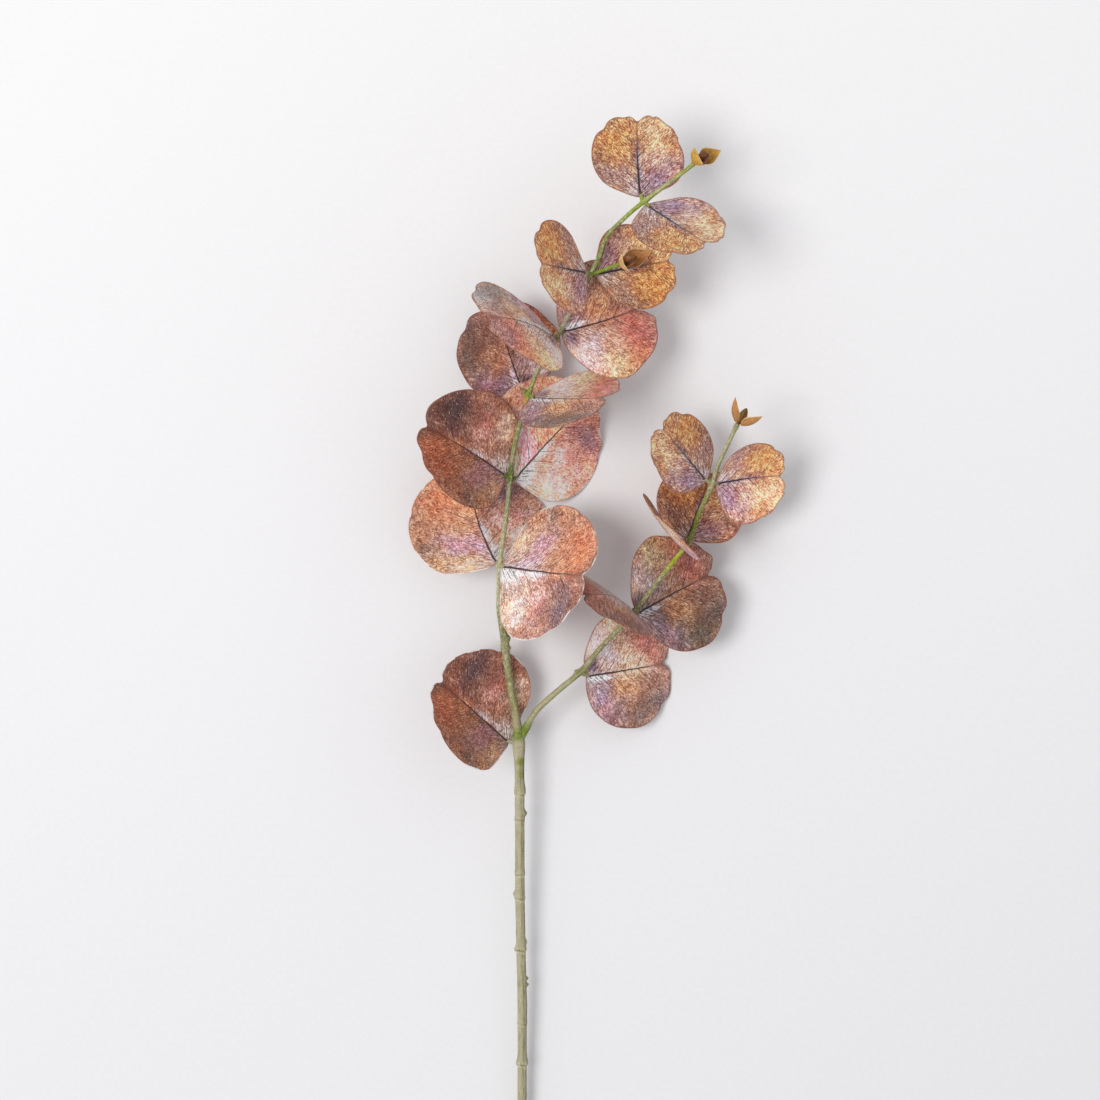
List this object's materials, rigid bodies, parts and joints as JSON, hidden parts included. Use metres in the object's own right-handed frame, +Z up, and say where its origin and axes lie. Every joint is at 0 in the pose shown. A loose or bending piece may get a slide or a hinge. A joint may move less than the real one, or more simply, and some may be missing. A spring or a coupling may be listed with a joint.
{
  "type": "eucalyptus gum nut sprig",
  "caption": "Cut spray of round-leaf eucalyptus with a side branch, printed autumn-coloured leaves in opposite pairs and small open pointed gum nuts at the tips, lying flat.",
  "frame": {"origin": "on the surface the spray lies on, at the middle of its bounding box", "axes": "+Y along the stem from the cut end to the tip, +X to the side-branch side, +Z up off the surface"},
  "size_m": [0.2036, 0.6851, 0.0935],
  "materials": {
    "stem": "matte, flocked olive grey",
    "branch": "matte, flocked green",
    "leaf_small": "printed gold and rust cloth",
    "leaf_medium": "printed olive, rust and mauve cloth",
    "leaf_large": "printed maroon, rust and cream cloth",
    "gum_valve": "matte ochre",
    "gum_core": "matte dark brown"
  },
  "bodies": {
    "root": {"main_stem": "stem", "side_branch": "branch", "bud_stalk": "branch", "leaf_01": "leaf_small", "leaf_02": "leaf_small", "leaf_03": "leaf_small", "leaf_04": "leaf_small", "leaf_05": "leaf_medium", "leaf_06": "leaf_medium", "leaf_07": "leaf_medium", "leaf_08": "leaf_medium", "leaf_09": "leaf_large", "leaf_10": "leaf_large", "leaf_11": "leaf_large", "leaf_12": "leaf_large", "leaf_13": "leaf_large", "leaf_14": "leaf_medium", "leaf_15": "leaf_medium", "leaf_16": "leaf_medium", "leaf_17": "leaf_small", "leaf_18": "leaf_small", "leaf_19": "leaf_small", "leaf_20": "leaf_small", "gum_nut_a_core": "gum_core", "gum_nut_a_valve_left": "gum_valve", "gum_nut_a_valve_right": "gum_valve", "gum_nut_b_core": "gum_core", "gum_nut_b_valve_left": "gum_valve", "gum_nut_b_valve_right": "gum_valve", "gum_nut_c_core": "gum_core", "gum_nut_c_valve_left": "gum_valve", "gum_nut_c_valve_right": "gum_valve"}
  },
  "joints": []
}
